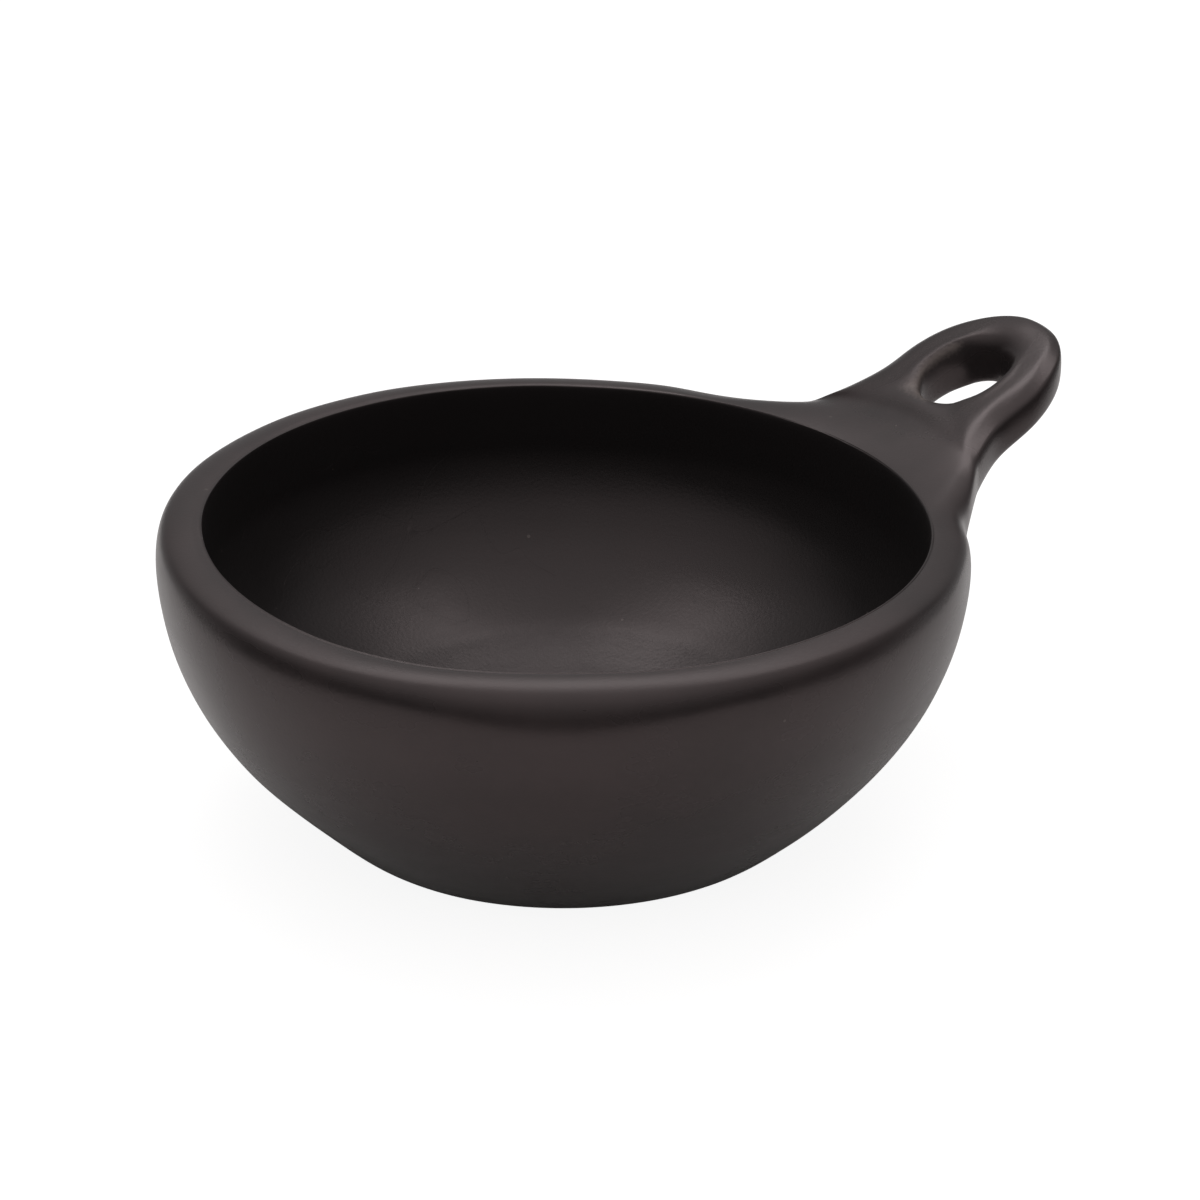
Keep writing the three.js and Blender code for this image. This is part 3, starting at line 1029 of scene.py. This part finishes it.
def hairlines(tree, where, hollow, smoke):
    """Hairline scratches in parts of the hollow, where grit under the stone has dragged."""
    drag = add(tree, "ShaderNodeTexNoise", {"Scale": 1 / SCRATCH_CURVE, "Detail": 1}, {"Vector": where})
    line = add(tree, "ShaderNodeMath", {"operation": "COMPARE", 1: 0.5, 2: 0.002}, {0: drag})
    here = add(tree, "ShaderNodeMapRange", {"From Min": 0.54, "From Max": 0.58}, {"Value": smoke})
    some = add(tree, "ShaderNodeMath", {"operation": "MULTIPLY"}, {0: line, 1: here})
    return add(tree, "ShaderNodeMath", {"operation": "MULTIPLY"}, {0: some, 1: hollow})


def clay_relief(tree, hollow, stone, grit, scratch):
    """Relief of the grit, coarser in the hollow, of the strokes and of the scratches."""
    coarse = add(tree, "ShaderNodeMapRange", {"To Min": 0.6, "To Max": 1}, {"Value": hollow})
    grain = add(tree, "ShaderNodeMath", {"operation": "MULTIPLY"}, {0: grit, 1: coarse})
    relief = add(tree, "ShaderNodeMath", {"operation": "MULTIPLY_ADD", 1: 0.15}, {0: stone, 2: grain})
    scored = add(tree, "ShaderNodeMath", {"operation": "MULTIPLY_ADD", 1: -2.5}, {0: scratch, 2: relief})
    return add(tree, "ShaderNodeBump", {"Strength": 0.5, "Distance": RELIEF_DEPTH}, {"Height": scored})


def burnished_clay():
    """Black earthenware, coil-built, rubbed with a smooth stone while leather-hard and fired in smoke.

    The stone lays the clay's flakes flat, which gives a satin sheen in long, faint strokes round the bowl.
    The smoke blackens it unevenly, so that a little brown shows, and fine pits and dust stay visible.
    """
    name = "burnished_smoke_fired_clay"
    if name in bpy.data.materials:
        return bpy.data.materials[name]
    colours = bpy.context.scene.clay_colours
    material, tree = empty_material(name)
    where = add(tree, "ShaderNodeTexCoord").outputs["Object"]
    parts = add(tree, "ShaderNodeSeparateXYZ", (), {"Vector": where}).outputs
    hollow = add(tree, "ShaderNodeAttribute", {"attribute_name": HOLLOW}).outputs["Fac"]
    worn = add(tree, "ShaderNodeAttribute", {"attribute_name": WORN}).outputs["Fac"]
    clouds = {"Scale": 1 / SMOKE_CLOUD, "Detail": 5, "Roughness": 0.62}
    smoke = add(tree, "ShaderNodeTexNoise", clouds, {"Vector": where})
    grit = add(tree, "ShaderNodeTexNoise", {"Scale": 1 / GRIT, "Detail": 2}, {"Vector": where})
    stone = stone_strokes(tree, where, parts)
    black = smoked_black(tree, colours, parts["Z"], hollow, smoke)
    dull = rubbed_edges(tree, colours, worn, grit, black)
    links = {
        "Base Color": dusty_pits(tree, colours, where, dull),
        "Roughness": satin_finish(tree, hollow, worn, stone, smoke),
        "Normal": clay_relief(tree, hollow, stone, grit, hairlines(tree, where, hollow, smoke)),
    }
    shader = add(tree, "ShaderNodeBsdfPrincipled", {"IOR": 1.5, "Specular Tint": colours.sheen}, links)
    add(tree, "ShaderNodeOutputMaterial", (), {"Surface": shader})
    return material


def studio_paper():
    """Matt white studio paper. The camera sees it mostly as plain white, with the bowl's shadow on it."""
    colours = bpy.context.scene.clay_colours
    material, tree = empty_material("matt_studio_paper")
    seen = add(tree, "ShaderNodeLightPath").outputs["Is Camera Ray"]
    matt = add(tree, "ShaderNodeBsdfDiffuse", {"Color": colours.paper})
    white = add(tree, "ShaderNodeEmission", {"Color": WHITE, "Strength": 1.25})
    share = add(tree, "ShaderNodeMath", {"operation": "MULTIPLY", 1: 0.72}, {0: seen})
    both = add(tree, "ShaderNodeMixShader", (), {"Fac": share, 1: matt, 2: white})
    add(tree, "ShaderNodeOutputMaterial", (), {"Surface": both})
    return material


# Camera and studio

CAMERA_RISE = math.radians(26.846)
CAMERA_DISTANCE = 1
CAMERA_AIM = Vector((15.54 * MM, 9.86 * MM, 33.69 * MM))
LENS, SENSOR_WIDTH = 156.72, 36
# Lamps: distance, turn from the camera's line and rise in degrees, width, depth, and radiance.
CEILING = "ceiling bounce"
LAMPS = {
    "back softbox": (1.25, 0, 57, 0.5, 0.32, 2.5),
    "left softbox": (1.25, 37, 63, 0.48, 0.36, 1.85),
    "right softbox": (1.25, -42, 63, 0.48, 0.36, 1.85),
    CEILING: (2, 0, 64, 2.5, 2.5, 0.3),
}
# The paper, and how far it reaches from the bowl's middle towards the camera and away from it.
PAPER_WIDTH, PAPER_FRONT, PAPER_BACK = 0.5, 0.29, 1.5


def heading(bearing, rise):
    """The direction along +Y, turned by a bearing and raised."""
    return Vector((
        -math.sin(bearing) * math.cos(rise),
        math.cos(bearing) * math.cos(rise),
        math.sin(rise),
    ))


def build_camera():
    """A long lens, 1 m from the bowl, turned as in the photograph."""
    ahead = heading(CAMERA_BEARING, CAMERA_RISE)
    bpy.ops.object.camera_add(location=CAMERA_DISTANCE * Vector((-ahead.x, -ahead.y, ahead.z)))
    camera = bpy.context.object
    camera.rotation_mode = "QUATERNION"
    camera.rotation_quaternion = (CAMERA_AIM - camera.location).to_track_quat("-Z", "Y")
    camera.data.sensor_width = SENSOR_WIDTH
    camera.data.lens = LENS
    bpy.context.scene.camera = camera


def hang_lamp(name, distance, turn, rise, width, depth, radiance):
    """A wide lamp that looks at the bowl, as bright per area as a white wall lit to that level."""
    place = distance * heading(CAMERA_BEARING + math.radians(turn), math.radians(rise))
    bpy.ops.object.light_add(type="AREA", location=place)
    lamp = bpy.context.object
    lamp.name = name
    lamp.rotation_mode = "QUATERNION"
    lamp.rotation_quaternion = (-place).to_track_quat("-Z", "Y")
    lamp.data.shape = "RECTANGLE"
    lamp.data.size = width
    lamp.data.size_y = depth
    lamp.data.energy = radiance * math.pi * width * depth
    lamp.visible_glossy = name != CEILING


def light_room(scene):
    """A studio that is white behind the bowl and dark behind the camera."""
    world = bpy.data.worlds.new("studio")
    world.use_nodes = True
    tree = world.node_tree
    tree.nodes.clear()
    scene.world = world
    away = add(tree, "ShaderNodeTexCoord").outputs["Generated"]
    height = add(tree, "ShaderNodeSeparateXYZ", (), {"Vector": away}).outputs["Z"]
    behind = {"operation": "DOT_PRODUCT", 1: heading(CAMERA_BEARING, 0)}
    depth = add(tree, "ShaderNodeVectorMath", behind, {0: away})
    aside = {"operation": "DOT_PRODUCT", 1: CAMERA_RIGHT}
    side = add(tree, "ShaderNodeVectorMath", aside, {0: away})
    # the ceiling's light, which grows with the height
    steep = {"From Min": -0.5, "From Max": 0.5, "To Min": 0.8, "To Max": 1.15}
    fade = add(tree, "ShaderNodeMapRange", steep, {"Value": depth})
    climb = add(tree, "ShaderNodeMath", {"operation": "POWER", "use_clamp": True}, {0: height, 1: fade})
    # the sides behind the bowl, which are dimmer
    square = add(tree, "ShaderNodeMath", {"operation": "MULTIPLY"}, {0: side, 1: side})
    darker = {"From Min": -0.2, "From Max": 0.3, "To Max": -0.55}
    rear = add(tree, "ShaderNodeMapRange", darker, {"Value": depth})
    dim = add(tree, "ShaderNodeMath", {"operation": "MULTIPLY_ADD", 2: 0.85}, {0: square, 1: rear})
    # the white wall low behind the bowl
    wall = add(tree, "ShaderNodeMapRange", {"From Max": 0.5, "To Max": 0.35}, {"Value": depth})
    low = add(tree, "ShaderNodeMapRange", {"From Max": 0.35, "To Min": 1, "To Max": 0}, {"Value": height})
    glow = add(tree, "ShaderNodeMath", {"operation": "MULTIPLY"}, {0: wall, 1: low})
    level = add(tree, "ShaderNodeMath", {"operation": "MULTIPLY_ADD"}, {0: climb, 1: dim, 2: glow})
    seen = add(tree, "ShaderNodeLightPath").outputs["Is Camera Ray"]
    strength = add(tree, "ShaderNodeMix", {"B": 1.0}, {"Factor": seen, "A": level})
    light = add(tree, "ShaderNodeBackground", {"Color": WHITE}, {"Strength": strength})
    add(tree, "ShaderNodeOutputWorld", (), {"Surface": light})


def lay_paper():
    """A sheet that ends before the camera, where the room's dark shows in the burnish under the lip."""
    middle = heading(CAMERA_BEARING, 0) * (PAPER_BACK - PAPER_FRONT) / 2
    bpy.ops.mesh.primitive_plane_add(size=1, location=middle, rotation=(0, 0, CAMERA_BEARING))
    floor = bpy.context.object
    floor.name = "paper_floor"
    floor.scale = (PAPER_WIDTH, PAPER_FRONT + PAPER_BACK, 1)
    bpy.ops.object.transform_apply(location=True, rotation=True, scale=True)
    return floor


class ClayBowlStage(bpy.types.Operator):
    """Builds the paper floor, the lamps, the room's light and the camera"""

    bl_idname = "clay_bowl.stage"
    bl_label = "Build the stage"

    def execute(self, context):
        bpy.ops.object.select_all(action="DESELECT")
        floor = lay_paper()
        floor.data.materials.append(studio_paper())
        for name, settings in LAMPS.items():
            hang_lamp(name, *settings)
        light_room(context.scene)
        build_camera()
        context.scene.view_settings.view_transform = "Standard"
        return {"FINISHED"}


class ClayBowlPanel(bpy.types.Panel):
    """Lists the bowl's steps and sizes"""

    bl_idname = "VIEW3D_PT_clay_bowl"
    bl_label = "Clay bowl"
    bl_space_type = "VIEW_3D"
    bl_region_type = "UI"
    bl_category = "Clay bowl"

    def draw(self, context):
        for kind in STEPS:
            self.layout.operator(kind.bl_idname)
        for group in (context.scene.clay_bowl, context.scene.clay_handle, context.scene.clay_colours):
            box = self.layout.box()
            for name in group.__annotations__:
                box.prop(group, name)


STEPS = (ClayBowlSkin, ClayBowlPieces, ClayBowlStage)
CLASSES = (BowlSizes, HandleSizes, ClayColours, *STEPS, ClayBowlPanel)


def register():
    """Adds the classes and the scene's settings."""
    for kind in CLASSES:
        bpy.utils.register_class(kind)
    bpy.types.Scene.clay_bowl = bpy.props.PointerProperty(type=BowlSizes)
    bpy.types.Scene.clay_handle = bpy.props.PointerProperty(type=HandleSizes)
    bpy.types.Scene.clay_colours = bpy.props.PointerProperty(type=ClayColours)


def unregister():
    """Takes the classes and the scene's settings away."""
    for name in ("clay_colours", "clay_handle", "clay_bowl"):
        delattr(bpy.types.Scene, name)
    for kind in reversed(CLASSES):
        bpy.utils.unregister_class(kind)


def main():
    """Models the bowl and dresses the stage."""
    register()
    bpy.ops.clay_bowl.skin()
    bpy.ops.clay_bowl.pieces()
    bpy.ops.clay_bowl.stage()


if __name__ == "__main__":
    main()
